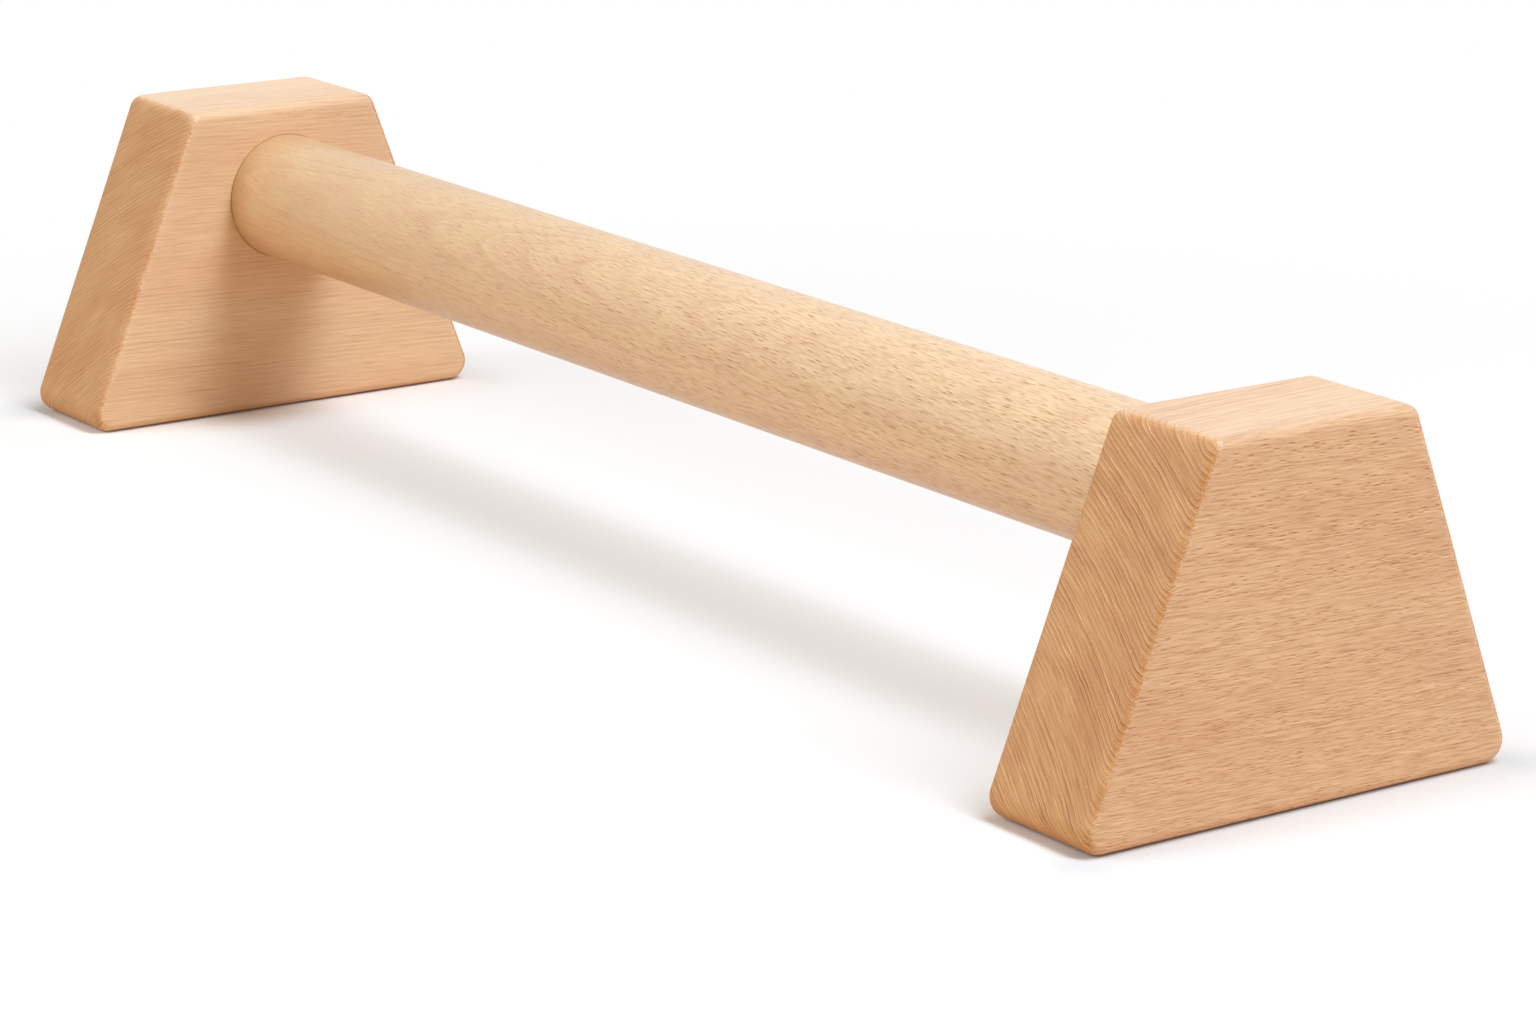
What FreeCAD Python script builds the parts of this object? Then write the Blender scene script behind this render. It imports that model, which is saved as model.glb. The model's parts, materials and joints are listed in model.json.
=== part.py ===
# Wooden parallette bar: a round grip bar glued and screwed into two trapezoid end blocks.
# Millimetres. +X runs along the bar, +Z is up, and the origin is on the floor midway between the blocks.
import FreeCAD, Part
import math
import os
import Sketcher

document = FreeCAD.newDocument("ParalletteBar")
sheet = document.addObject("Spreadsheet::Sheet", "Sizes")

# Driving sizes in millimetres: alias, value, what it measures
driving_sizes = [
    ("overall_length", "530", "over the outer faces of the two blocks"),
    ("overall_height", "100", "floor to the top of the blocks"),
    ("base_width", "140", "widest part of a block, over its rounded base corners"),
    ("top_flat_width", "60", "flat on top of a block, between its rounded corners"),
    ("block_thickness", "40", "block measured along the bar"),
    ("base_corner_radius", "6", "lower corners of the trapezoid"),
    ("top_corner_radius", "5", "upper corners of the trapezoid"),
    ("edge_round", "3", "round-over on the edges of both faces of a block"),
    ("underside_trim", "0.6", "planed off the underside after the round-over"),
    ("bar_diameter", "40", "grip bar"),
    ("bar_end_chamfer", "1", "on both ends of the bar, inside the sockets"),
    ("wood_over_bar", "10", "from the top of the bar to the top of the block"),
    ("socket_depth", "28", "blind socket in the inner face of a block"),
    ("socket_mouth_chamfer", "0.2", "eased edge of the socket"),
    ("glue_gap", "0.15", "glue film between bar and socket, round the bar and at its end"),
    ("counterbore_depth", "12.7", "screw seat above the underside of a block"),
    ("counterbore_diameter", "12", "room for the screw head and a driver bit"),
    ("screw_diameter", "5", "shank of the lock screw"),
    ("screw_hole_gap", "0.25", "room round the shank in the block"),
    ("pilot_gap", "0.05", "room round the shank in the bar"),
    ("screw_bite", "23.5", "how far the screw reaches into the bar"),
    ("screw_tip_length", "6", "tapered point of the screw"),
    ("screw_head_diameter", "10", "pan head"),
    ("screw_head_height", "3.2", "pan head"),
    ("screw_head_bevel", "1.2", "bevelled rim of the pan head"),
    ("recess_length", "5", "cross recess in the screw head, tip to tip"),
    ("recess_width", "1.1", "one arm of the cross recess"),
    ("recess_depth", "2", "cross recess"),
    ("pad_diameter", "18", "stick-on rubber pad, two under each block"),
    ("pad_thickness", "0.8", "stick-on rubber pad, which lifts the wood off the floor"),
    ("pad_edge_bevel", "0.2", "bevelled lower rim of a pad"),
    ("pad_end_inset", "18", "from the end of the base to the centre of a pad"),
]

# Sizes that follow from the driving ones
following_sizes = [
    ("bar_axis_height", "=overall_height - wood_over_bar - bar_diameter / 2"),
    ("bar_length", "=overall_length - 2 * (block_thickness - socket_depth + glue_gap)"),
    ("inner_face_place", "=overall_length / 2 - block_thickness"),
    ("screw_inset", "=socket_depth / 2"),
    ("screw_seat_height", "=pad_thickness + counterbore_depth"),
    ("screw_length", "=bar_axis_height - bar_diameter / 2 - screw_seat_height + screw_bite"),
    ("base_centre_spacing", "=base_width - 2 * base_corner_radius"),
    ("base_centre_height", "=pad_thickness - underside_trim + base_corner_radius"),
    ("top_centre_height", "=overall_height - top_corner_radius"),
    ("pad_place_across", "=base_width / 2 - pad_end_inset"),
    # No round-over can be larger than the corner that it runs around.
    ("face_edge_radius", "=min(edge_round; 0.9 * top_corner_radius)"),
]

for row, (alias, value, meaning) in enumerate(driving_sizes, start=1):
    sheet.set(f"A{row}", meaning)
    sheet.set(f"B{row}", value)
    sheet.setAlias(f"B{row}", alias)
document.recompute()

for row, (alias, formula) in enumerate(following_sizes, start=len(driving_sizes) + 1):
    sheet.set(f"B{row}", formula)
    sheet.setAlias(f"B{row}", alias)
document.recompute()


def size(alias):
    return float(sheet.get(alias))


# Sketch helpers

sketch_normal = FreeCAD.Vector(0, 0, 1)
start, end, centre = range(1, 4)
origin_point = (-1, 1)
horizontal_axis, vertical_axis = range(-1, -3, -1)
front_side, right_side, rear_side, left_side = range(4)


def add_sketch(body, name, role):
    plane = [feature for feature in body.Origin.OriginFeatures if feature.Role == role][0]
    sketch = body.newObject("Sketcher::SketchObject", name)
    sketch.AttachmentSupport = [(plane, "")]
    sketch.MapMode = "FlatFace"
    return sketch


def line(x1, y1, x2, y2):
    return Part.LineSegment(FreeCAD.Vector(x1, y1, 0), FreeCAD.Vector(x2, y2, 0))


def circle(x, y, radius):
    return Part.Circle(FreeCAD.Vector(x, y, 0), sketch_normal, radius)


def arc(x, y, radius, first_angle, last_angle):
    return Part.ArcOfCircle(circle(x, y, radius), first_angle, last_angle)


def relate(sketch, kind, *places):
    sketch.addConstraint(Sketcher.Constraint(kind, *places))


def dimension(sketch, name, kind, places, expression, value):
    index = sketch.addConstraint(Sketcher.Constraint(kind, *places, value))
    sketch.renameConstraint(index, name)
    sketch.setExpression("Constraints." + name, expression)


def add_loop(sketch, edges, smooth_ends=()):
    # The edges follow each other round the loop. An edge numbered in smooth_ends runs smoothly into the next.
    for edge in edges:
        sketch.addGeometry(edge, False)
    for index in range(len(edges)):
        kind = "Tangent" if index in smooth_ends else "Coincident"
        relate(sketch, kind, index, end, (index + 1) % len(edges), start)


def add_rectangle(sketch, x1, y1, x2, y2):
    # Edges 0 to 3 are the front, right, rear and left sides.
    add_loop(sketch, [line(x1, y1, x2, y1), line(x2, y1, x2, y2), line(x2, y2, x1, y2), line(x1, y2, x1, y1)])
    for edge in (front_side, rear_side):
        relate(sketch, "Horizontal", edge)
    for edge in (right_side, left_side):
        relate(sketch, "Vertical", edge)


# Feature helpers

same_size = 1e-6


def lies_along_x(direction):
    return abs(abs(direction.x) - 1) < same_size


def add_feature(body, kind, name, **bound_sizes):
    feature = body.newObject("PartDesign::" + kind, name)
    for setting, expression in bound_sizes.items():
        feature.setExpression(setting, expression)
    return feature


def faces_along_x(shape):
    names = []
    for index, face in enumerate(shape.Faces, start=1):
        if isinstance(face.Surface, Part.Plane) and lies_along_x(face.normalAt(0, 0)):
            names.append(f"Face{index}")
    return names


def circles_at_x(shape, place, radius):
    names = []
    for index, edge in enumerate(shape.Edges, start=1):
        if isinstance(edge.Curve, Part.Circle) and abs(edge.Curve.Radius - radius) < same_size:
            if abs(edge.Curve.Center.x - place) < same_size and lies_along_x(edge.Curve.Axis):
                names.append(f"Edge{index}")
    return names


def finish_cut(body, feature, volume_before):
    document.recompute()
    if feature.Shape.Volume >= volume_before:
        raise RuntimeError(f"{body.Label}: {feature.Label} cuts nothing")


def turn_profile(body, sketch):
    revolution = add_feature(body, "Revolution", body.Label + "_turned")
    revolution.Profile = sketch
    revolution.ReferenceAxis = (sketch, ["V_Axis"])
    revolution.Angle = 360
    document.recompute()
    return revolution


# End blocks

def block_profile(body):
    # Trapezoid across the bar. Each sloping side is the straight line that touches two corner arcs.
    base_y = size("base_centre_spacing") / 2
    base_z = size("base_centre_height")
    base_radius = size("base_corner_radius")
    top_y = size("top_flat_width") / 2
    top_z = size("top_centre_height")
    top_radius = size("top_corner_radius")
    rise = math.atan2(top_z - base_z, top_y - base_y)
    reach = math.hypot(top_z - base_z, top_y - base_y)
    slope = rise - math.acos((base_radius - top_radius) / reach)
    floor_angle = -math.pi / 2
    crown_angle = math.pi / 2
    left_slope = math.pi - slope
    side_low = (base_y + base_radius * math.cos(slope), base_z + base_radius * math.sin(slope))
    side_high = (top_y + top_radius * math.cos(slope), top_z + top_radius * math.sin(slope))

    sketch = add_sketch(body, body.Label + "_profile", "YZ_Plane")
    edges = [
        line(-base_y, base_z - base_radius, base_y, base_z - base_radius),
        arc(base_y, base_z, base_radius, floor_angle, slope),
        line(*side_low, *side_high),
        arc(top_y, top_z, top_radius, slope, crown_angle),
        line(top_y, top_z + top_radius, -top_y, top_z + top_radius),
        arc(-top_y, top_z, top_radius, crown_angle, left_slope),
        line(-side_high[0], side_high[1], -side_low[0], side_low[1]),
        arc(-base_y, base_z, base_radius, left_slope, 2 * math.pi + floor_angle),
    ]
    right_base, right_top, left_top, left_base = range(1, 8, 2)
    add_loop(sketch, edges, smooth_ends=range(len(edges)))
    relate(sketch, "Equal", right_base, left_base)
    relate(sketch, "Equal", right_top, left_top)
    relate(sketch, "Symmetric", right_base, centre, left_base, centre, vertical_axis)
    relate(sketch, "Symmetric", right_top, centre, left_top, centre, vertical_axis)
    dimension(sketch, "BaseRadius", "Radius", (right_base,), "Sizes.base_corner_radius", base_radius)
    dimension(sketch, "TopRadius", "Radius", (right_top,), "Sizes.top_corner_radius", top_radius)
    dimension(sketch, "BaseSpacing", "DistanceX", (left_base, centre, right_base, centre),
              "Sizes.base_centre_spacing", 2 * base_y)
    dimension(sketch, "TopSpacing", "DistanceX", (left_top, centre, right_top, centre),
              "Sizes.top_flat_width", 2 * top_y)
    dimension(sketch, "BaseHeight", "DistanceY", (*origin_point, right_base, centre),
              "Sizes.base_centre_height", base_z)
    dimension(sketch, "TopHeight", "DistanceY", (*origin_point, right_top, centre),
              "Sizes.top_centre_height", top_z)
    return sketch


def plane_underside(body, blank):
    # The cut is twice the block's footprint, so it clears the rounded corners on every side.
    thickness = size("block_thickness")
    width = size("base_width")
    sketch = add_sketch(body, body.Label + "_underside", "XY_Plane")
    add_rectangle(sketch, -thickness / 2, -width, thickness * 3 / 2, width)
    dimension(sketch, "CutLength", "DistanceX", (front_side, start, front_side, end),
              "2 * Sizes.block_thickness", 2 * thickness)
    dimension(sketch, "CutWidth", "DistanceY", (right_side, start, right_side, end),
              "2 * Sizes.base_width", 2 * width)
    dimension(sketch, "CutStart", "DistanceX", (front_side, start, *origin_point),
              "Sizes.block_thickness / 2", thickness / 2)
    dimension(sketch, "CutFront", "DistanceY", (front_side, start, *origin_point), "Sizes.base_width", width)
    pocket = add_feature(body, "Pocket", body.Label + "_planed", Length="Sizes.pad_thickness")
    pocket.Profile = sketch
    pocket.Reversed = True
    finish_cut(body, pocket, blank.Shape.Volume)
    return pocket


def bore_socket(body, block):
    sketch = add_sketch(body, body.Label + "_socket_circle", "YZ_Plane")
    radius = size("bar_diameter") / 2 + size("glue_gap")
    height = size("bar_axis_height")
    sketch.addGeometry(circle(0, height, radius), False)
    relate(sketch, "PointOnObject", 0, centre, vertical_axis)
    dimension(sketch, "SocketDiameter", "Diameter", (0,),
              "Sizes.bar_diameter + 2 * Sizes.glue_gap", 2 * radius)
    dimension(sketch, "AxisHeight", "DistanceY", (*origin_point, 0, centre), "Sizes.bar_axis_height", height)
    socket = add_feature(body, "Pocket", body.Label + "_socket", Length="Sizes.socket_depth")
    socket.Profile = sketch
    socket.Reversed = True
    finish_cut(body, socket, block.Shape.Volume)

    mouth = add_feature(body, "Chamfer", body.Label + "_socket_mouth", Size="Sizes.socket_mouth_chamfer")
    mouth.Base = (socket, circles_at_x(socket.Shape, 0, radius))
    finish_cut(body, mouth, socket.Shape.Volume)
    return mouth


def bore_screw_way(body, block):
    sketch = add_sketch(body, body.Label + "_screw_circle", "XY_Plane")
    sketch.setExpression("AttachmentOffset.Base.z", "Sizes.pad_thickness")
    diameter = size("screw_diameter") + 2 * size("screw_hole_gap")
    inset = size("screw_inset")
    sketch.addGeometry(circle(inset, 0, diameter / 2), False)
    relate(sketch, "PointOnObject", 0, centre, horizontal_axis)
    dimension(sketch, "HoleDiameter", "Diameter", (0,),
              "Sizes.screw_diameter + 2 * Sizes.screw_hole_gap", diameter)
    dimension(sketch, "HoleInset", "DistanceX", (*origin_point, 0, centre), "Sizes.screw_inset", inset)
    document.recompute()
    hole = add_feature(body, "Hole", body.Label + "_screw_way")
    hole.Profile = sketch
    hole.Reversed = True
    hole.ThreadType = "None"
    hole.DepthType = "Dimension"
    hole.DrillPoint = "Flat"
    hole.HoleCutType = "Counterbore"
    hole.HoleCutCustomValues = True
    hole.setExpression("Diameter", "Sizes.screw_diameter + 2 * Sizes.screw_hole_gap")
    hole.setExpression("Depth", "Sizes.bar_axis_height - Sizes.pad_thickness")
    hole.setExpression("HoleCutDiameter", "Sizes.counterbore_diameter")
    hole.setExpression("HoleCutDepth", "Sizes.counterbore_depth")
    finish_cut(body, hole, block.Shape.Volume)


def make_end_block(label, side):
    # The body starts at the block's inner face, where the bar goes in, and grows outwards.
    body = document.addObject("PartDesign::Body", label)
    blank = add_feature(body, "Pad", label + "_blank", Length="Sizes.block_thickness")
    blank.Profile = block_profile(body)
    document.recompute()
    rounded = add_feature(body, "Fillet", label + "_rounded", Radius="Sizes.face_edge_radius")
    rounded.Base = (blank, faces_along_x(blank.Shape))
    finish_cut(body, rounded, blank.Shape.Volume)
    planed = plane_underside(body, rounded)
    socketed = bore_socket(body, planed)
    bore_screw_way(body, socketed)
    body.Placement.Rotation = FreeCAD.Rotation(sketch_normal, 0 if side > 0 else 180)
    body.setExpression("Placement.Base.x", f"{side} * Sizes.inner_face_place")
    return body


# Grip bar

def make_grip_bar(label):
    body = document.addObject("PartDesign::Body", label)
    radius = size("bar_diameter") / 2
    section = add_sketch(body, label + "_section", "YZ_Plane")
    section.addGeometry(circle(0, 0, radius), False)
    relate(section, "Coincident", 0, centre, *origin_point)
    dimension(section, "BarDiameter", "Diameter", (0,), "Sizes.bar_diameter", 2 * radius)
    dowel = add_feature(body, "Pad", label + "_dowel", Length="Sizes.bar_length")
    dowel.Profile = section
    document.recompute()

    chamfer = add_feature(body, "Chamfer", label + "_eased_ends", Size="Sizes.bar_end_chamfer")
    ends = circles_at_x(dowel.Shape, 0, radius) + circles_at_x(dowel.Shape, size("bar_length"), radius)
    chamfer.Base = (dowel, ends)
    finish_cut(body, chamfer, dowel.Shape.Volume)

    # A pilot hole near each end takes the lock screw from below.
    sketch = add_sketch(body, label + "_pilot_circles", "XY_Plane")
    sketch.setExpression("AttachmentOffset.Base.z", "-Sizes.bar_diameter / 2")
    inset = size("screw_inset") - size("glue_gap")
    pilot = size("screw_diameter") + 2 * size("pilot_gap")
    for index, place in enumerate((inset, size("bar_length") - inset)):
        sketch.addGeometry(circle(place, 0, pilot / 2), False)
        relate(sketch, "PointOnObject", index, centre, horizontal_axis)
    near_end = "Sizes.screw_inset - Sizes.glue_gap"
    dimension(sketch, "PilotDiameter", "Diameter", (0,), "Sizes.screw_diameter + 2 * Sizes.pilot_gap", pilot)
    relate(sketch, "Equal", 0, 1)
    dimension(sketch, "NearPilot", "DistanceX", (*origin_point, 0, centre), near_end, inset)
    dimension(sketch, "FarPilot", "DistanceX", (*origin_point, 1, centre),
              f"Sizes.bar_length - ({near_end})", size("bar_length") - inset)
    document.recompute()
    hole = add_feature(body, "Hole", label + "_pilots")
    hole.Profile = sketch
    hole.Reversed = True
    hole.ThreadType = "None"
    hole.DepthType = "Dimension"
    hole.DrillPoint = "Angled"
    hole.setExpression("Diameter", "Sizes.screw_diameter + 2 * Sizes.pilot_gap")
    hole.setExpression("Depth", "Sizes.screw_bite")
    finish_cut(body, hole, chamfer.Shape.Volume)
    body.setExpression("Placement.Base.x", "-Sizes.bar_length / 2")
    body.setExpression("Placement.Base.z", "Sizes.bar_axis_height")
    return body


# Lock screws

def make_lock_screw(label, side):
    # The head's flat underside, which sits on the counterbore's floor, is the body's own zero height.
    body = document.addObject("PartDesign::Body", label)
    head_radius = size("screw_head_diameter") / 2
    head_height = size("screw_head_height")
    bevel = size("screw_head_bevel")
    shank_radius = size("screw_diameter") / 2
    length = size("screw_length")
    shoulder = length - size("screw_tip_length")
    sketch = add_sketch(body, label + "_profile", "XZ_Plane")
    edges = [
        line(0, -head_height, head_radius - bevel, -head_height),
        line(head_radius - bevel, -head_height, head_radius, bevel - head_height),
        line(head_radius, bevel - head_height, head_radius, 0),
        line(head_radius, 0, shank_radius, 0),
        line(shank_radius, 0, shank_radius, shoulder),
        line(shank_radius, shoulder, 0, length),
        line(0, length, 0, -head_height),
    ]
    crown, head_rim, head_side, seat, shank, tip, axis = range(7)
    add_loop(sketch, edges)
    relate(sketch, "Horizontal", crown)
    relate(sketch, "PointOnObject", seat, start, horizontal_axis)
    relate(sketch, "PointOnObject", seat, end, horizontal_axis)
    relate(sketch, "Vertical", head_side)
    relate(sketch, "Vertical", shank)
    relate(sketch, "PointOnObject", axis, start, vertical_axis)
    relate(sketch, "PointOnObject", axis, end, vertical_axis)
    dimension(sketch, "BevelAcross", "DistanceX", (head_rim, start, head_rim, end),
              "Sizes.screw_head_bevel", bevel)
    dimension(sketch, "BevelHigh", "DistanceY", (head_rim, start, head_rim, end),
              "Sizes.screw_head_bevel", bevel)
    dimension(sketch, "HeadRadius", "DistanceX", (*origin_point, seat, start),
              "Sizes.screw_head_diameter / 2", head_radius)
    dimension(sketch, "ShankRadius", "DistanceX", (*origin_point, seat, end),
              "Sizes.screw_diameter / 2", shank_radius)
    dimension(sketch, "HeadHeight", "DistanceY", (crown, start, *origin_point),
              "Sizes.screw_head_height", head_height)
    dimension(sketch, "Length", "DistanceY", (*origin_point, tip, end), "Sizes.screw_length", length)
    dimension(sketch, "TipLength", "DistanceY", (tip, start, tip, end),
              "Sizes.screw_tip_length", size("screw_tip_length"))
    turned = turn_profile(body, sketch)

    # One arm of the cross recess, then the same arm a quarter turn on
    arm_length = size("recess_length") / 2
    arm_width = size("recess_width") / 2
    slot = add_sketch(body, label + "_recess_arm", "XY_Plane")
    slot.setExpression("AttachmentOffset.Base.z", "-Sizes.screw_head_height")
    add_rectangle(slot, -arm_length, -arm_width, arm_length, arm_width)
    relate(slot, "Symmetric", front_side, start, rear_side, start, *origin_point)
    dimension(slot, "ArmLength", "DistanceX", (front_side, start, front_side, end),
              "Sizes.recess_length", 2 * arm_length)
    dimension(slot, "ArmWidth", "DistanceY", (right_side, start, right_side, end),
              "Sizes.recess_width", 2 * arm_width)
    recess = add_feature(body, "Pocket", label + "_recess", Length="Sizes.recess_depth")
    recess.Profile = slot
    recess.Reversed = True
    finish_cut(body, recess, turned.Shape.Volume)
    cross = add_feature(body, "PolarPattern", label + "_cross")
    cross.Originals = [recess]
    cross.Axis = (slot, ["N_Axis"])
    cross.Angle = 90
    cross.Occurrences = 2
    body.Tip = cross
    finish_cut(body, cross, recess.Shape.Volume)
    body.setExpression("Placement.Base.x", f"{side} * (Sizes.inner_face_place + Sizes.screw_inset)")
    body.setExpression("Placement.Base.z", "Sizes.screw_seat_height")
    return body


# Rubber pads

def make_pad(label, side, across):
    # A flat disc with a bevelled lower rim, stuck to the planed underside midway through a block's thickness
    body = document.addObject("PartDesign::Body", label)
    radius = size("pad_diameter") / 2
    thickness = size("pad_thickness")
    bevel = size("pad_edge_bevel")
    sketch = add_sketch(body, label + "_profile", "XZ_Plane")
    edges = [
        line(0, 0, radius - bevel, 0),
        line(radius - bevel, 0, radius, bevel),
        line(radius, bevel, radius, thickness),
        line(radius, thickness, 0, thickness),
        line(0, thickness, 0, 0),
    ]
    sole, lower_rim, wall, glued_face, axis = range(5)
    add_loop(sketch, edges)
    relate(sketch, "Horizontal", sole)
    relate(sketch, "Coincident", sole, start, *origin_point)
    relate(sketch, "Vertical", wall)
    relate(sketch, "Horizontal", glued_face)
    relate(sketch, "Vertical", axis)
    dimension(sketch, "BevelAcross", "DistanceX", (lower_rim, start, lower_rim, end),
              "Sizes.pad_edge_bevel", bevel)
    dimension(sketch, "BevelHigh", "DistanceY", (lower_rim, start, lower_rim, end),
              "Sizes.pad_edge_bevel", bevel)
    dimension(sketch, "PadRadius", "DistanceX", (*origin_point, wall, end), "Sizes.pad_diameter / 2", radius)
    dimension(sketch, "PadThickness", "DistanceY", (*origin_point, wall, end),
              "Sizes.pad_thickness", thickness)
    turn_profile(body, sketch)
    body.setExpression("Placement.Base.x", f"{side} * (Sizes.inner_face_place + Sizes.block_thickness / 2)")
    body.setExpression("Placement.Base.y", f"{across} * Sizes.pad_place_across")
    return body


# The whole part

sides = [("left", -1), ("right", 1)]
pad_rows = [("front", -1), ("rear", 1)]

sub_parts = [make_grip_bar("grip_bar")]
for side_name, side in sides:
    sub_parts.append(make_end_block(f"{side_name}_end_block", side))
    sub_parts.append(make_lock_screw(f"{side_name}_lock_screw", side))
    for row_name, across in pad_rows:
        sub_parts.append(make_pad(f"{side_name}_{row_name}_pad", side, across))
document.recompute()

for item in document.Objects:
    if "Invalid" in item.State or "Error" in item.State:
        raise RuntimeError(f"{item.Label} failed: {item.State}")
for part in sub_parts:
    if part.Shape.isNull() or not part.Shape.isValid() or len(part.Shape.Solids) != 1:
        raise RuntimeError(f"{part.Label} is not one valid solid")

os.makedirs("parts", exist_ok=True)
for part in sub_parts:
    part.Shape.exportStep(f"parts/{part.Label}.step")
    box = part.Shape.optimalBoundingBox(False, False)
    print(f"{part.Label}: {box.XLength:.2f} x {box.YLength:.2f} x {box.ZLength:.2f} mm, "
          f"volume {part.Shape.Volume / 1000:.2f} cm3")
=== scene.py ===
# Looks of the wooden parallette bar: sanded beech, zinc screws and rubber pads, on a white floor.
import json
import math

import bmesh
import bpy
import numpy as np
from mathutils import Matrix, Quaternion, Vector

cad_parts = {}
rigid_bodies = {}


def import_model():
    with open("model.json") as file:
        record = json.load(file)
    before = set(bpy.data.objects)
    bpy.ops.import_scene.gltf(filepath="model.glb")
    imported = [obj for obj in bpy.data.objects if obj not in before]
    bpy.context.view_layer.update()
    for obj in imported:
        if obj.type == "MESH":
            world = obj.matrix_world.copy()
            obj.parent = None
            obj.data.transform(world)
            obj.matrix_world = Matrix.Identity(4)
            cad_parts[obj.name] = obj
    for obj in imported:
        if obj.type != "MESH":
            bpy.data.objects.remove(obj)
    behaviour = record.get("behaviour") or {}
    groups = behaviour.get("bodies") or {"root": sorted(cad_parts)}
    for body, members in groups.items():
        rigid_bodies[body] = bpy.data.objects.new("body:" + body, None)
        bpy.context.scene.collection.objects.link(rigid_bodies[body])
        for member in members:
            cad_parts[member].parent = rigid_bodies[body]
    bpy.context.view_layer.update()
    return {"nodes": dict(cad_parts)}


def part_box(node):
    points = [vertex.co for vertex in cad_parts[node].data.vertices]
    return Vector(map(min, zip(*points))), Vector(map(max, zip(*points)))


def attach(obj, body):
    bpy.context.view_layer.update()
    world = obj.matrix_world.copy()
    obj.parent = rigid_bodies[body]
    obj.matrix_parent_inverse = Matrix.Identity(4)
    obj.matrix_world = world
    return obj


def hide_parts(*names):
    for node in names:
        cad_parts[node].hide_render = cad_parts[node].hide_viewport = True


for stray in list(bpy.data.objects):
    bpy.data.objects.remove(stray)

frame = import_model()
mm = 0.001
sides = {"left": -1, "right": 1}
rows = ("front", "rear")
print("frame loaded:", len(frame["nodes"]), "nodes")


# Shader maths: a Wire holds one socket, and arithmetic on it adds Math nodes

class Wire:
    def __init__(self, tree, socket=None):
        self.tree = tree
        self.socket = socket

    # any node: its type, its settings, which are set first, its sockets' values or links, and its output
    def node(self, kind, settings=None, sockets=None, output=0):
        made = self.tree.nodes.new("ShaderNode" + kind)
        for setting, value in (settings or {}).items():
            setattr(made, setting, value)
        for socket, value in (sockets or {}).items():
            if isinstance(value, Wire):
                self.tree.links.new(value.socket, made.inputs[socket])
            else:
                made.inputs[socket].default_value = value
        return Wire(self.tree, made.outputs[output])

    def math(self, operation, first, second=0.0):
        return self.node("Math", {"operation": operation}, {0: first, 1: second})

    def __add__(self, other):
        return self.math("ADD", self, other)

    def __sub__(self, other):
        return self.math("SUBTRACT", self, other)

    def __rsub__(self, other):
        return self.math("SUBTRACT", other, self)

    def __mul__(self, other):
        return self.math("MULTIPLY", self, other)

    def __truediv__(self, other):
        return self.math("DIVIDE", self, other)

    def __abs__(self):
        return self.math("ABSOLUTE", self)

    __radd__ = __add__
    __rmul__ = __mul__

    # share where this is 0, rising to 1 where this is 1
    def atLeast(self, share):
        return share + (1 - share) * self

    # 0 below low, 1 above high and a smooth step between them
    def step(self, low, high):
        return self.node("MapRange", {"interpolation_type": "SMOOTHSTEP"},
                         {"Value": self, "From Min": low, "From Max": high})

    def mix(self, factor, first, second, mode):
        return self.node("Mix", {"data_type": "RGBA", "blend_type": mode},
                         {0: factor, 6: first, 7: second}, 2)

    # this value as the factor between two colours
    def blend(self, first, second, mode="MIX"):
        return self.mix(self, first, second, mode)

    def vector(self, x, y, z):
        return self.node("CombineXYZ", None, {"X": x, "Y": y, "Z": z})

    def parts(self):
        return [self.node("SeparateXYZ", None, {0: self}, axis) for axis in range(3)]

    def noise(self, place, detail=2.0, roughness=0.5, output=0):
        return self.node("TexNoise", None, {"Vector": place, "Scale": 1.0, "Detail": detail,
                                            "Roughness": roughness}, output)

    def bump(self, height, distance, strength):
        return self.node("Bump", None, {"Strength": strength, "Distance": distance, "Height": height},
                         "Normal")


def newMaterial(name):
    material = bpy.data.materials.new(name)
    material.use_nodes = True
    material.node_tree.nodes.clear()
    return material, Wire(material.node_tree)


def setSurface(wire, shader):
    output = wire.tree.nodes.new("ShaderNodeOutputMaterial")
    wire.tree.links.new(shader.socket, output.inputs["Surface"])


# Object coordinates in millimetres
def millimetres(wire, origin=(0, 0, 0), scale=(1 / mm, 1 / mm, 1 / mm)):
    return wire.node("Mapping", None, {"Vector": wire.node("TexCoord", output="Object"),
                                       "Location": origin, "Scale": scale})


# Beech, with linear colours and lengths in millimetres. A pattern's size is given in two directions across
# the fibres and then along them. A pair ending in Edge, Rise or Fall is where a smooth step begins and ends.

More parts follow.
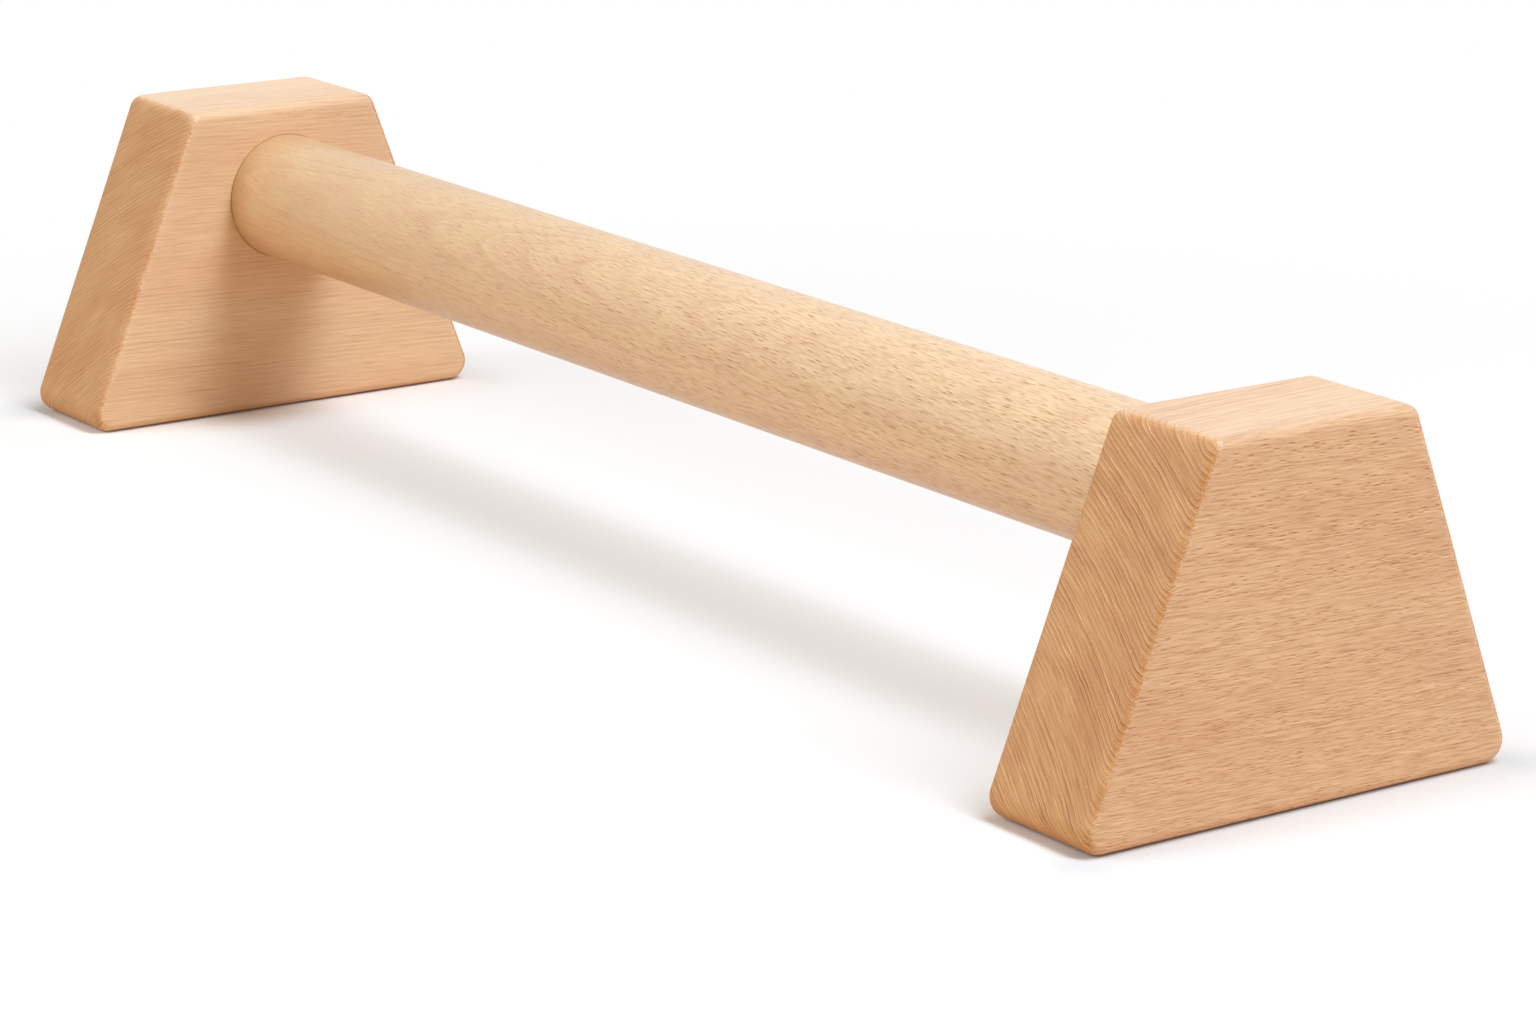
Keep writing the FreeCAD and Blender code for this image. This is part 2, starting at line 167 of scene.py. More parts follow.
beechLook = {
    "lateWood": (0.66, 0.43, 0.27, 1), "earlyWood": (0.95, 0.66, 0.40, 1), "glint": (0.98, 0.74, 0.50, 1),
    "burnish": (0.95, 0.80, 0.64, 1), "quietAndShaded": (0.88, 0.82, 0.735, 1), "browning": (1.4, 1.8),
    "bend": (45, 45, 140), "shiver": (5, 5, 50), "patch": (6, 9, 40),
    "endLine": (0.32, 9, 30), "crownLine": (0.24, 9, 30), "lineGrit": 0.6,
    "ringGap": 1.3, "ringDrift": 7, "driftYears": 2.0,
    "lateRise": (0.3, 0.8), "lateFall": (0.82, 0.94), "earlyRise": (0.84, 0.95),
    "faintYear": 0.35, "latePatch": 0.3, "earlyPatch": 0.6,
    "patchEdge": (0.32, 0.62), "toneEdge": (0.35, 0.65), "spindleEdge": (0.1, 0.42),
    "strokeEdge": (0.53, 0.68), "endEdge": (0.3, 0.85), "crownEdge": (0.4, 0.95),
    "burnishEdge": (0.5, 0.75), "burnishEnd": 0.4,
    "raggedStreaks": 0.5, "raggedLines": 0.4, "endHush": 0.7, "crownHush": 0.75,
    "quietShow": 0.3, "glintShift": 0.8,
    "streakRough": 0.12, "endRough": 0.16, "rayRough": 0.1, "crownGloss": 0.08,
    "lineHeight": 0.4, "rayDepth": 0.4, "strokeDepth": 0.5, "relief": 0.02 * mm, "bump": 0.4,
}


# Solid wood. A ring is a distance from the pith, the fibres run along one axis, and a ray is a thin spindle
# in the fibres' direction. The cut says how a piece lay in its log and how strongly each figure shows on it.
def beech(name, cut):
    look = beechLook
    material, wire = newMaterial(name)
    axes = millimetres(wire, cut["origin"], cut["scale"]).parts()
    along, across, up = [axes[index] for index in cut["order"]]

    def stretched(first, second, size, shift=0.0):
        return wire.vector(first / size[0], second / size[1], along / size[2] + shift)

    # the rings bend slowly and shiver finely
    wander = wire.noise(stretched(across, up, look["bend"]), 1.0, output="Color").parts()
    shiver = wire.noise(stretched(across, up, look["shiver"], cut["seed"]), 4.0, 0.68)
    across = across - cut["pith"][0] + (wander[0] - 0.5) * cut["wander"]
    up = up - cut["pith"][1] + (wander[1] - 0.5) * cut["wander"] - along * cut["slope"]
    radius = wire.math("SQRT", across * across + up * up) + (shiver - 0.5) * cut["shiver"]
    turn = wire.math("ARCTAN2", up, across) * math.hypot(*cut["pith"])

    # late wood darkens until the year ends, and a pale line of early wood follows, more in some years than
    # in others
    drift = wire.noise(wire.vector(radius / look["ringDrift"], cut["seed"], 0.0)) * look["driftYears"]
    year = radius / look["ringGap"] + drift
    part = wire.math("FRACT", year)
    wholeYear = wire.math("FLOOR", year) + cut["seed"]
    yearLot = wire.node("TexWhiteNoise", {"noise_dimensions": "1D"}, {"W": wholeYear})
    strength = yearLot.atLeast(look["faintYear"])
    patchy = wire.noise(stretched(radius, turn, look["patch"])).step(*look["patchEdge"])
    late = part.step(*look["lateRise"]) * (1 - part.step(*look["lateFall"]))
    late = late * strength * patchy.atLeast(look["latePatch"])
    early = part.step(*look["earlyRise"]) * strength * (1 - look["earlyPatch"] * patchy)

    # rays: one spindle in each stretched cell, as strong as the cell's own lot says, and fainter where the
    # wood is quiet
    # the same range also darkens the colour as painted shade, which falls only on the bar, towards its left
    # end
    loudAndUnshaded = along.step(*cut["quietAndShaded"])
    show = loudAndUnshaded.atLeast(look["quietShow"])

    def rays(size, shift=0.0):
        cell = wire.vector(radius / size[0] + cut["seed"], turn / size[1] + shift, along / size[2])
        spindle = wire.node("TexVoronoi", None, {"Vector": cell, "Scale": 1.0}, "Distance")
        lot = wire.node("TexVoronoi", None, {"Vector": cell, "Scale": 1.0}, "Color").parts()[0]
        return (1 - spindle.step(*look["spindleEdge"])) * wire.math("POWER", lot, cut["rarity"]) * show

    darkRays = rays(cut["raySize"])
    # painted highlights: pale glint flecks just beside the dark rays
    glints = rays(cut["raySize"], look["glintShift"])
    thin, short = cut["fibre"]
    streaks = wire.noise(stretched(across, up, (thin, thin, short)), 1.5)
    strokes = streaks.step(*look["strokeEdge"]) * show
    lines = wire.noise(stretched(radius, turn, look["endLine"]), 2.0, look["lineGrit"])
    crownLines = wire.noise(stretched(radius, turn, look["crownLine"]), 2.0, look["lineGrit"])
    tone = wire.noise(stretched(radius, turn, cut["blotch"], cut["seed"]))

    # end grain starts raggedly, fibre by fibre, and the edge round it is burnished
    normal = wire.node("NewGeometry", output="Normal").parts()
    ragged = (streaks - 0.5) * look["raggedStreaks"] + (lines - 0.5) * look["raggedLines"]
    endGrain = (abs(normal[cut["order"][0]]) + ragged).step(*look["endEdge"])
    edge = endGrain * (1 - endGrain) * 4
    # the upper face is cut along the rays, so it shows straight lines instead of dashes
    crown = normal[cut["order"][2]].step(*look["crownEdge"]) * cut["crown"]
    onFace = (1 - look["endHush"] * endGrain) * (1 - look["crownHush"] * crown)

    colour = tone.step(*look["toneEdge"]).blend(cut["pale"], cut["rosy"])
    # painted shade: the bar is darker and browner towards its left end, next to the left block
    colour = (1 - loudAndUnshaded).blend(colour, look["quietAndShaded"], "MULTIPLY")
    colour = endGrain.blend(colour, cut["endGrain"], "MULTIPLY")
    burnished = edge * patchy + endGrain * tone.step(*look["burnishEdge"]) * look["burnishEnd"]
    colour = burnished.blend(colour, look["burnish"], "MULTIPLY")
    ringShow = cut["ringFace"] + (cut["ringEnd"] - cut["ringFace"]) * endGrain
    colour = (late * ringShow).blend(colour, look["lateWood"], "MULTIPLY")
    colour = (early * ringShow).blend(colour, look["earlyWood"])
    # painted highlights: the glint flecks lighten the colour beside the rays
    colour = (glints * onFace * cut["glintShow"]).blend(colour, look["glint"])
    dashes = (darkRays * cut["rayShow"] + strokes * cut["strokeShow"]) * onFace
    colour = dashes.blend(colour, cut["rayColour"], "MULTIPLY")

    # fine fibres and lines: green and blue change more than red, so what is darker is browner too
    fine = (lines - 0.5) * endGrain * cut["lineEnd"] + (crownLines - 0.5) * crown * (1 - endGrain)
    fine = fine - (streaks - 0.5) * show * onFace * cut["streakFace"]
    green, blue = [1 + fine * times for times in look["browning"]]
    shade = wire.node("CombineColor", None, {"Red": 1 + fine, "Green": green, "Blue": blue})
    colour = wire.mix(1.0, colour, shade, "MULTIPLY")

    rough = cut["roughness"] + look["streakRough"] * streaks + look["endRough"] * endGrain
    rough = rough + look["rayRough"] * darkRays - look["crownGloss"] * crown
    height = look["lineHeight"] * lines * endGrain - look["rayDepth"] * darkRays
    height = height - look["strokeDepth"] * strokes
    bump = wire.bump(height, look["relief"], look["bump"])
    setSurface(wire, wire.node("BsdfPrincipled", None, {
        "Base Color": colour, "Roughness": rough, "Normal": bump, "IOR": 1.5}))
    return material


blockLow, blockHigh = [np.array(corner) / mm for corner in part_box("right_end_block")]
barLow, barHigh = [np.array(corner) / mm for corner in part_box("grip_bar")]
innerFace, outerFace = blockLow[0], blockHigh[0]
barAxis = (barLow[2] + barHigh[2]) / 2

# blocks: the fibres run across the bar, and the rings slope down from the inner face to the outer one
blockCut = {
    "origin": (-innerFace, 0, 0), "order": (1, 0, 2),
    "pith": (-103, -133), "wander": 2, "slope": -0.035, "shiver": 0.9,
    "fibre": (0.34, 8), "quietAndShaded": (-200, -150), "blotch": (12, 20, 90), "crown": 0.8, "roughness": 0.34,
    "raySize": (9, 0.2, 4), "rayColour": (0.62, 0.36, 0.16, 1), "rarity": 1.0,
    "rayShow": 1.0, "strokeShow": 0.2, "glintShow": 0.4,
    "ringFace": 0.2, "ringEnd": 0.9, "streakFace": 0.65, "lineEnd": 1.1,
    "pale": (0.80, 0.515, 0.30, 1), "rosy": (0.76, 0.46, 0.262, 1), "endGrain": (0.82, 0.68, 0.445, 1),
}
# the left block mirrors the right one and is of quieter wood
blockCuts = {
    "right": dict(blockCut, scale=(1 / mm, 1 / mm, 1 / mm), seed=29),
    "left": dict(blockCut, scale=(-1 / mm, 1 / mm, 1 / mm), seed=11, fibre=(0.4, 12), crown=0.3,
                 rayShow=0.25, strokeShow=0.1, glintShow=0.15,
                 ringFace=0.26, ringEnd=0.55, streakFace=0.26, lineEnd=0.6,
                 pale=(0.90, 0.62, 0.38, 1), rosy=(0.86, 0.555, 0.335, 1), endGrain=(0.67, 0.51, 0.325, 1)),
}
# bar: the fibres run along it, with the pith behind and below
barCut = {
    "origin": (0, 0, -barAxis), "scale": (1 / mm, 1 / mm, 1 / mm), "order": (0, 1, 2), "seed": 3.7,
    "pith": (42, -36), "wander": 4, "slope": -0.06, "shiver": 0.6,
    "fibre": (0.42, 6.5), "quietAndShaded": (-240, 120), "blotch": (5, 7, 16), "crown": 0, "roughness": 0.28,
    "raySize": (0.8, 0.42, 5.5), "rayColour": (0.66, 0.42, 0.22, 1), "rarity": 0.9,
    "rayShow": 1.05, "strokeShow": 0.22, "glintShow": 0.45,
    "ringFace": 0.2, "ringEnd": 0.8, "streakFace": 0.43, "lineEnd": 0.3,
    "pale": (0.838, 0.582, 0.334, 1), "rosy": (0.812, 0.542, 0.322, 1), "endGrain": (0.94, 0.80, 0.64, 1),
}
blockBeech = {name: beech(name + "BlockBeech", cut) for name, cut in blockCuts.items()}
barBeech = beech("barBeech", barCut)
print("wood ready")


# Zinc-plated steel, with cloudy passivation and fine scuffs

zincLook = {
    "bright": (0.72, 0.72, 0.70, 1), "cloud": (0.55, 0.55, 0.50, 1), "cloudEdge": (0.35, 0.7),
    "scuffEdge": (0.5, 0.8), "scuffsAcross": 9, "scuffsUp": 1.5,
    "roughness": 0.3, "cloudRough": 0.2, "scuffRough": 0.15, "relief": 0.01 * mm, "bump": 0.4,
}


def zinc():
    look = zincLook
    material, wire = newMaterial("zincSteel")
    place = millimetres(wire)
    cloud = wire.noise(place, 3.0, 0.6)
    x, y, z = place.parts()
    across, upward = look["scuffsAcross"], look["scuffsUp"]
    scuffs = wire.noise(wire.vector(x * across, y * across, z * upward), 1.0).step(*look["scuffEdge"])
    colour = cloud.step(*look["cloudEdge"]).blend(look["bright"], look["cloud"])
    rough = look["roughness"] + look["cloudRough"] * cloud + look["scuffRough"] * scuffs
    bump = wire.bump(scuffs, look["relief"], look["bump"])
    setSurface(wire, wire.node("BsdfPrincipled", None, {
        "Base Color": colour, "Roughness": rough, "Normal": bump, "Metallic": 1.0}))
    return material


# Matt black rubber with a pebbled skin and a little dust

rubberLook = {
    "black": (0.018, 0.018, 0.02, 1), "dust": (0.09, 0.085, 0.078, 1),
    "dustEdge": (0.45, 0.8), "dustShow": 0.6, "pebbles": 2.6,
    "roughness": 0.75, "dustRough": 0.2, "relief": 0.05 * mm, "bump": 0.5,
}


def rubber():
    look = rubberLook
    material, wire = newMaterial("blackRubber")
    place = millimetres(wire)
    pebbles = wire.node("TexVoronoi", None, {"Vector": place, "Scale": look["pebbles"]}, "Distance")
    dust = wire.noise(place, 4.0, 0.65).step(*look["dustEdge"])
    colour = (dust * look["dustShow"]).blend(look["black"], look["dust"])
    rough = look["roughness"] + look["dustRough"] * dust
    bump = wire.bump(pebbles, look["relief"], look["bump"])
    setSurface(wire, wire.node("BsdfPrincipled", None, {
        "Base Color": colour, "Roughness": rough, "Normal": bump}))
    return material


zincSteel = zinc()
blackRubber = rubber()
print("steel and rubber ready")


# Surfaces. Rings of points follow one another along a path, and a pole closes each end.

def ringSkin(name, rings, poles):
    count, around = rings.shape[:2]
    here = np.arange(around)
    beside = np.roll(here, -1)
    starts = np.arange(count - 1)[:, None] * around
    quads = np.stack([starts + here, starts + beside, starts + around + beside, starts + around + here], -1)
    lastRing, firstPole = (count - 1) * around, count * around
    caps = np.stack([[beside, here, np.full(around, firstPole)],
                     [lastRing + here, lastRing + beside, np.full(around, firstPole + 1)]])
    faces = quads.reshape(-1, 4).tolist() + caps.transpose(0, 2, 1).reshape(-1, 3).tolist()
    points = np.concatenate([rings.reshape(-1, 3), poles]) * mm
    mesh = bpy.data.meshes.new(name)
    mesh.from_pydata(points.tolist(), [], faces)
    piece = bpy.data.objects.new(name, mesh)
    bpy.context.collection.objects.link(piece)
    return piece


# Angles of a full turn in equal steps
def fullTurn(around):
    return np.linspace(0, 2 * math.pi, around, endpoint=False)


# A profile of (radius, height) turned about an upright line: radius times cosine and sine of the angle, and
# the height as it is
def turned(name, profile, place, around):
    radius, height = np.array(profile[1:-1], float).T[:, :, None]
    angle = fullTurn(around)
    rings = np.stack([radius * np.cos(angle), radius * np.sin(angle), height + 0 * angle], -1)
    poles = np.array([(0, 0, profile[0][1]), (0, 0, profile[-1][1])], float)
    return ringSkin(name, rings + place, poles + place)


# Points on an arc of (radius, height), from one angle to another in degrees
def arc(centre, size, first, last, count):
    angle = np.radians(np.linspace(first, last, count))
    return list(zip(centre[0] + size * np.cos(angle), centre[1] + size * np.sin(angle)))


# Takes the cutter's shape out of a piece and throws the cutter away
def drill(piece, cutter):
    modifier = piece.modifiers.new("drill", "BOOLEAN")
    modifier.object = cutter
    modifier.operation = "DIFFERENCE"
    modifier.solver = "EXACT"
    shape = piece.evaluated_get(bpy.context.evaluated_depsgraph_get())
    drilled = bpy.data.meshes.new_from_object(shape)
    piece.modifiers.clear()
    piece.data = drilled
    bpy.data.objects.remove(cutter)


# Where a screw's upright line meets the floor
def screwFoot(name):
    low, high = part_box(name + "_lock_screw")
    return (low.x + high.x) / 2 / mm, 0, 0


# Smooth faces with crisp edges, the material, and the place of the CAD node that the piece stands for
def finishPiece(piece, material, node, crease=32):
    piece.data.shade_smooth()
    piece.data.set_sharp_from_angle(angle=math.radians(crease))
    piece.data.materials.clear()
    piece.data.materials.append(material)
    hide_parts(node)
    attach(piece, "root")


# End blocks

blockLook = {
    "topFlat": 60, "baseRadius": 6, "topRadius": 5, "trim": 0.6,
    "edgeRound": 3, "unevenness": 0.06, "sanded": (10, 50),
    "socketDepth": 28, "socketRadius": 20.05, "mouthChamfer": 0.1,
    "counterbore": 6, "counterboreDepth": 12.7, "screwHole": 2.75,
    "spans": (16, 40, 14, 28, 14, 40, 16, 44),
    "edgeRings": 10, "sideRings": 9, "sideStart": 5, "boreSides": 64,
}
underside = blockLow[2]


# The trapezoid's outline: each point is a corner circle's centre plus its radius along the outward normal.
# Round a corner the normal turns, and along a straight side the centre and the radius move from one circle to
# the next.
def blockOutline():
    baseRadius, topRadius = blockLook["baseRadius"], blockLook["topRadius"]
    baseY, topY = blockHigh[1] - baseRadius, blockLook["topFlat"] / 2
    baseZ, topZ = underside - blockLook["trim"] + baseRadius, blockHigh[2] - topRadius
    reach = math.hypot(topZ - baseZ, topY - baseY)
    slope = math.atan2(topZ - baseZ, topY - baseY) - math.acos((baseRadius - topRadius) / reach)
    base, top = (baseY, baseZ, baseRadius), (topY, topZ, topRadius)
    farBase, farTop = (-baseY, baseZ, baseRadius), (-topY, topZ, topRadius)
    down, upright = -math.pi / 2, math.pi / 2
    stops = np.array([(*base, down), (*base, slope), (*top, slope), (*top, upright),
                      (*farTop, upright), (*farTop, math.pi - slope),
                      (*farBase, math.pi - slope), (*farBase, math.pi - down), (*base, 2 * math.pi + down)])
    marks = np.concatenate([[0], np.cumsum(blockLook["spans"])])
    steps = np.arange(marks[-1])
    return [np.interp(steps, marks, stops[:, column]) for column in range(4)]


# The block's skin: out of the socket, over the inner face, round its edge, along the sides, round the outer
# edge and over the outer face. On a rounded edge the depth is radius times one minus the cosine of the turn,
# and the inset from the outline is radius times one minus its sine.
def makeBlock(name, side):
    centreY, centreZ, radius, normal = blockOutline()
    thickness = outerFace - innerFace

    # hands sand the upper edges a little unevenly, in waves round the outline, up it and across it
    wave = np.sin(2 * normal + side) + 0.6 * np.sin(centreZ / 17 + 2 * side) + 0.4 * np.sin(centreY / 9)
    sandedFrom, sandedFull = blockLook["sanded"]
    upper = np.clip((centreZ - sandedFrom) / (sandedFull - sandedFrom), 0, 1)
    edgeRound = blockLook["edgeRound"] * (1 + blockLook["unevenness"] * wave * upper)

    def ring(depth, inset):
        reach = radius - inset
        outlineY, outlineZ = centreY + reach * np.cos(normal), centreZ + reach * np.sin(normal)
        return np.stack([depth + 0 * reach, outlineY, outlineZ], -1)

    faceRing = ring(0, edgeRound)
    bearing = np.arctan2(faceRing[:, 2] - barAxis, faceRing[:, 1])

    def socketRing(depth, size):
        return np.stack([depth + 0 * bearing, size * np.cos(bearing), barAxis + size * np.sin(bearing)], -1)

    socket, chamfer = blockLook["socketRadius"], blockLook["mouthChamfer"]
    mouth = socketRing(0, socket + chamfer)
    rings = [socketRing(blockLook["socketDepth"], socket), socketRing(chamfer, socket), mouth]
    rings += [mouth + share * (faceRing - mouth) for share in (0.3, 0.65, 0.95)]
    turns = np.radians(np.linspace(0, 90, blockLook["edgeRings"]))
    rings += [ring(edgeRound * (1 - np.cos(turn)), edgeRound * (1 - np.sin(turn))) for turn in turns]
    sideStart = blockLook["sideStart"]
    sideDepths = np.linspace(sideStart, thickness - sideStart, blockLook["sideRings"])
    rings += [ring(depth, 0) for depth in sideDepths]
    rings += [ring(thickness - edgeRound * (1 - np.cos(turn)), edgeRound * (1 - np.sin(turn)))
              for turn in turns[::-1]]
    outerRing = ring(thickness, edgeRound)
    middle = np.array([thickness, 0, blockHigh[2] / 2])
    rings += [middle + share * (outerRing - middle) for share in (0.97, 0.7, 0.4, 0.15)]
    rings = np.array(rings)
    poles = np.array([(blockLook["socketDepth"], 0, barAxis), middle])
    if side < 0:
        rings, poles = rings[::-1], poles[::-1]
    toPlace = np.array([side, 1, 1])
    start = np.array([side * innerFace, 0, 0])
    piece = ringSkin(name + "EndBlock", rings * toPlace + start, poles * toPlace + start)

    # the underside is planed flat, then bored for the screw
    shell = bmesh.new()
    shell.from_mesh(piece.data)
    bmesh.ops.bisect_plane(shell, geom=shell.verts[:] + shell.edges[:] + shell.faces[:],
                           plane_co=(0, 0, underside * mm), plane_no=(0, 0, 1), clear_inner=True)
    bmesh.ops.holes_fill(shell, edges=[edge for edge in shell.edges if edge.is_boundary])
    shell.to_mesh(piece.data)
    shell.free()
    seat = underside + blockLook["counterboreDepth"]
    wide, narrow = blockLook["counterbore"], blockLook["screwHole"]
    wayTop = barAxis - wide
    way = [(0, -wide), (wide, -wide), (wide, seat), (narrow, seat), (narrow, wayTop), (0, wayTop)]
    drill(piece, turned("screwWay", way, screwFoot(name), blockLook["boreSides"]))
    finishPiece(piece, blockBeech[name], name + "_end_block")


for name, side in sides.items():
    makeBlock(name, side)
print("end blocks ready")


# Grip bar: a dowel with eased ends and a pilot hole near each end

barLook = {"chamfer": 1, "rings": 90, "around": 128, "pilot": 2.55, "pilotDepth": 23.5, "pilotSides": 40}


# The dowel's profile is carried along X: radius times cosine and sine of the angle, across and up
def makeBar():
    size = (barHigh[1] - barLow[1]) / 2
    end, ease = barHigh[0], barLook["chamfer"]
    middle = np.linspace(ease - end, end - ease, barLook["rings"])
    depth = np.concatenate([[-end], middle, [end]])[:, None]
    radius = np.concatenate([[size - ease], np.full(len(middle), size), [size - ease]])[:, None]
    angle = fullTurn(barLook["around"])
    rings = np.stack([depth + 0 * angle, radius * np.cos(angle), barAxis + radius * np.sin(angle)], -1)
    piece = ringSkin("gripBar", rings, np.array([(-end, 0, barAxis), (end, 0, barAxis)]))
    hole, bottom = barLook["pilot"], barLow[2]
    top = bottom + barLook["pilotDepth"]
    pilot = [(0, bottom - hole), (hole, bottom - hole), (hole, top), (0, top + hole / 2)]
    for name in sides:
        drill(piece, turned("pilot", pilot, screwFoot(name), barLook["pilotSides"]))
    finishPiece(piece, barBeech, "grip_bar")


makeBar()
print("grip bar ready")


# Lock screws

screwLook = {
    "head": 5, "headHeight": 3.2, "headRings": 44, "rimShare": 0.9999,
    "recessArm": 2.5, "recessWidth": 1.1, "recessDepth": 2, "recessEase": (0.6, 0.25),
    "shank": 2.5, "core": 1.7, "pitch": 2.2, "crest": 0.28, "plain": 16, "tip": 6,
    "bodyRings": 320, "around": 96, "poleGap": 0.02,
}


# The head hangs below its seat by height times the root of one minus the fifth power of radius over rim, less
# the cross recess. On the thread the radius rises from the core to a crest where height over pitch, less the
# share of a turn, is midway between whole numbers, and the tip narrows it to a point.
def makeScrew(name):
    look = screwLook
    low, high = [np.array(corner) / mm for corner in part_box(name + "_lock_screw")]
    place = (low + high) / 2 * (1, 1, 0)
    seat = low[2] + look["headHeight"]
    angle = fullTurn(look["around"])

    rim = look["head"] * np.sin(np.linspace(look["poleGap"], math.pi / 2, look["headRings"]))[:, None]
    x, y = abs(rim * np.cos(angle)), abs(rim * np.sin(angle))
    arm, half = look["recessArm"], look["recessWidth"] / 2
    endEase, sideEase = look["recessEase"]
    slots = [np.minimum((arm - lengthwise) / endEase, (half - sideways) / sideEase)
             for lengthwise, sideways in ((x, y), (y, x))]
    recess = look["recessDepth"] * np.clip(np.maximum(*slots), 0, 1)
    dome = look["headHeight"] * np.sqrt(1 - (rim / look["head"]) ** 5 * look["rimShare"])
    head = np.stack([rim * np.cos(angle), rim * np.sin(angle), seat - dome + recess], -1)

    height = np.linspace(seat, high[2], look["bodyRings"])[:, None]
    climb = (height / look["pitch"] - angle / (2 * math.pi)) % 1
    crest = np.clip(1 - abs(climb - 0.5) / look["crest"], 0, 1)
    threaded = np.clip((height - seat - look["plain"]) / look["pitch"], 0, 1)
    shank = look["shank"] - (look["shank"] - look["core"]) * (1 - crest) * threaded
    shank = shank * np.clip((high[2] - height) / look["tip"], look["poleGap"], 1)
    body = np.stack([shank * np.cos(angle), shank * np.sin(angle), height + 0 * angle], -1)
    rings = np.concatenate([head, body])
    poles = np.array([(0, 0, seat - look["headHeight"] + look["recessDepth"]), (0, 0, high[2])])
    piece = ringSkin(name + "LockScrew", rings + place, poles + place)
    finishPiece(piece, zincSteel, name + "_lock_screw")


for name in sides:
    makeScrew(name)
print("screws ready")


# Rubber pads: a disc with a soft lower rim, an eased upper edge and a shallow dish in its sole

padLook = {"rim": 0.3, "rimSteps": 8, "ease": 0.1, "dish": 0.1, "dishFlat": 0.5, "dishShare": 0.7,
           "around": 72}


# The pad's profile is turned about its upright middle line
def makePad(name, row):
    node = f"{name}_{row}_pad"
    low, high = [np.array(corner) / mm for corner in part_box(node)]
    size, thickness = (high[0] - low[0]) / 2, high[2] - low[2]
    rim, ease, dish = padLook["rim"], padLook["ease"], padLook["dish"]
    profile = [(0, dish), (size * padLook["dishFlat"], dish), (size * padLook["dishShare"], 0)]
    profile += arc((size - rim, rim), rim, -90, 0, padLook["rimSteps"])
    profile += [(size, thickness - ease), (size - ease, thickness), (0, thickness)]
    piece = turned(f"{name}{row.title()}Pad", profile, (low + high) / 2 * (1, 1, 0), padLook["around"])
    finishPiece(piece, blackRubber, node)


for name in sides:
    for row in rows:
        makePad(name, row)
print("pads ready")


# Floor, light and camera, in metres

stageLook = {
    "floorHalf": 6.0, "floorSeen": (0.96, 0.92, 0.88, 1), "floorBounce": (0.72, 0.52, 0.35, 1),
    "floorLift": 0.5, "whiteEdge": (0.29, 0.5),
    "floorFootShade": (0.77, 0.76, 0.745, 1), "footFade": 0.025, "footLift": 0.03,
    "sky": 0.36, "skyColour": (1, 0.9, 0.78, 1), "white": (1, 1, 1, 1),
}

half = stageLook["floorHalf"]
corners = [(-half, -half, 0), (half, -half, 0), (half, half, 0), (-half, half, 0)]
floorMesh = bpy.data.meshes.new("floor")
floorMesh.from_pydata(corners, [], [(0, 1, 2, 3)])
floor = bpy.data.objects.new("floor", floorMesh)
bpy.context.collection.objects.link(floor)


# 1 for rays that show the floor or the world in the picture, 0 for rays that only carry light
def seenRay(wire):
    names = ("Is Camera Ray", "Is Glossy Ray", "Is Transmission Ray")
    return wire.math("MINIMUM", sum(wire.node("LightPath", output=name) for name in names), 1.0)


# the floor is lifted towards white, and goes over to plain white away from the object
floorMaterial, wire = newMaterial("whiteFloor")
seen = seenRay(wire)
x, y, z = wire.node("TexCoord", output="Object").parts()
away = wire.math("SQRT", x * x + y * y).step(*stageLook["whiteEdge"])
# where the blocks touch down the lift fades, and a soft shade is painted along their outer faces
middle, halfDeep = (innerFace + outerFace) / 2 * mm, (outerFace - innerFace) / 2 * mm
besideX = wire.math("MAXIMUM", abs(abs(x) - middle) - halfDeep, 0.0)
besideY = wire.math("MAXIMUM", abs(y) - blockHigh[1] * mm, 0.0)
clear = wire.math("SQRT", besideX * besideX + besideY * besideY).step(0.0, stageLook["footFade"])
footShade = (abs(x) - middle).step(0.0, halfDeep) * (1 - clear)
shaded = footShade.blend(stageLook["floorSeen"], stageLook["floorFootShade"])
paint = seen.blend(stageLook["floorBounce"], shaded)
matt = wire.node("BsdfPrincipled", None, {"Base Color": paint, "Roughness": 1.0, "Specular IOR Level": 0.0})
glow = wire.node("Emission", None, {"Color": stageLook["white"], "Strength": 1.0})
lift = stageLook["floorLift"] * clear.atLeast(stageLook["footLift"])
lift = seen * (lift + (1 - lift) * away)
setSurface(wire, wire.node("MixShader", None, {0: lift, 1: matt, 2: glow}))
floorMesh.materials.append(floorMaterial)

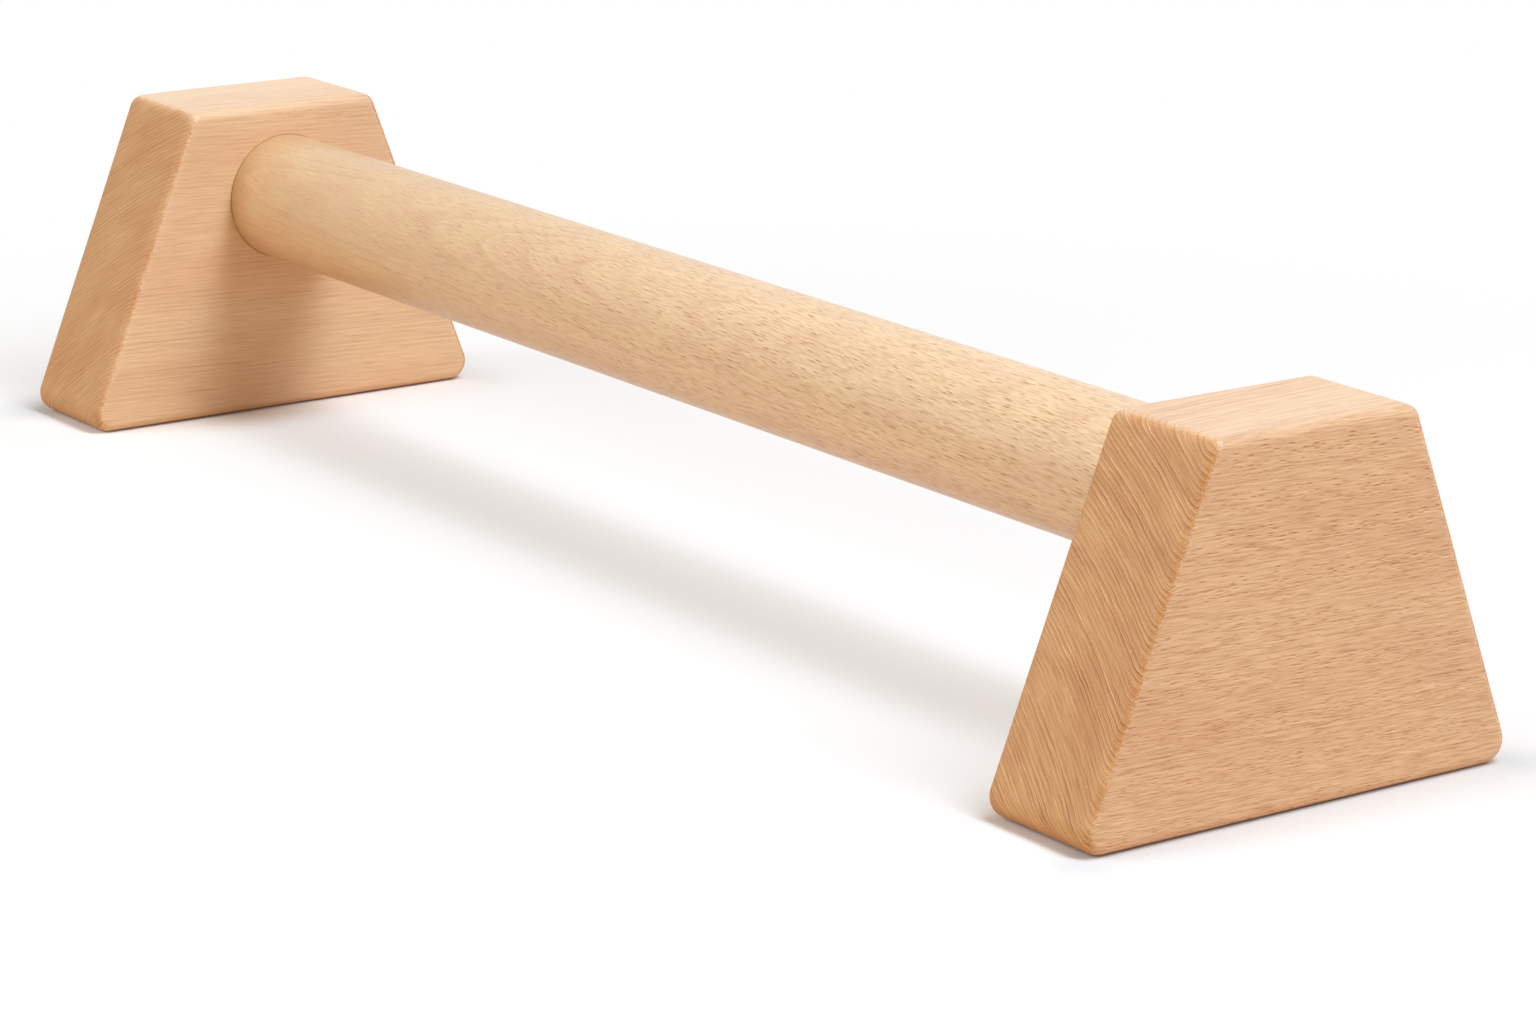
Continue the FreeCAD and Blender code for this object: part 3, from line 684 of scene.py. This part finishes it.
# the world is white in the picture and a dim warm sky as a light
world = bpy.data.worlds.new("studio")
world.use_nodes = True
world.node_tree.nodes.clear()
bpy.context.scene.world = world
wire = Wire(world.node_tree)
seen = seenRay(wire)
tint = seen.blend(stageLook["skyColour"], stageLook["white"])
sky = wire.node("Background", None, {"Color": tint, "Strength": seen.atLeast(stageLook["sky"])})
worldOutput = world.node_tree.nodes.new("ShaderNodeOutputWorld")
world.node_tree.links.new(sky.socket, worldOutput.inputs["Surface"])

# a long softbox high on the right and a little behind the bar, and a weaker fill from the front left
lampAim = (0, 0, 0.05)
lampLooks = {
    "softbox": {"at": (1.1, 0.38, 1.94), "long": 2.0, "wide": 0.65, "watts": 42, "colour": (0.9, 1.01, 1.14)},
    "fill": {"at": (-0.8, -2.0, 1.2), "long": 1.4, "wide": 1.4, "watts": 25, "colour": (0.9, 1.02, 1.12)},
}
for lampName, look in lampLooks.items():
    light = bpy.data.lights.new(lampName, "AREA")
    light.shape = "RECTANGLE"
    light.energy = look["watts"]
    light.color = look["colour"]
    light.size = look["wide"]
    light.size_y = look["long"]
    lamp = bpy.data.objects.new(lampName, light)
    lamp.location = look["at"]
    lamp.rotation_euler = (Vector(lampAim) - Vector(look["at"])).to_track_quat("-Z", "Y").to_euler()
    bpy.context.collection.objects.link(lamp)

cameraLook = {"at": (1.13520, -0.81087, 0.40027), "aim": (0, 0.02859, 0.01195), "roll": 0.8617,
              "lens": 117.126, "sensor": 36, "farthest": 100}
lens = bpy.data.cameras.new("camera")
lens.lens = cameraLook["lens"]
lens.sensor_width = cameraLook["sensor"]
lens.clip_end = cameraLook["farthest"]
camera = bpy.data.objects.new("camera", lens)
camera.location = cameraLook["at"]
gaze = Vector(cameraLook["aim"]) - Vector(cameraLook["at"])
tilt = gaze.to_track_quat("-Z", "Y") @ Quaternion((0, 0, 1), math.radians(cameraLook["roll"]))
camera.rotation_euler = tilt.to_euler()
bpy.context.collection.objects.link(camera)
bpy.context.scene.camera = camera
bpy.context.scene.view_settings.view_transform = "Standard"
print("stage ready")
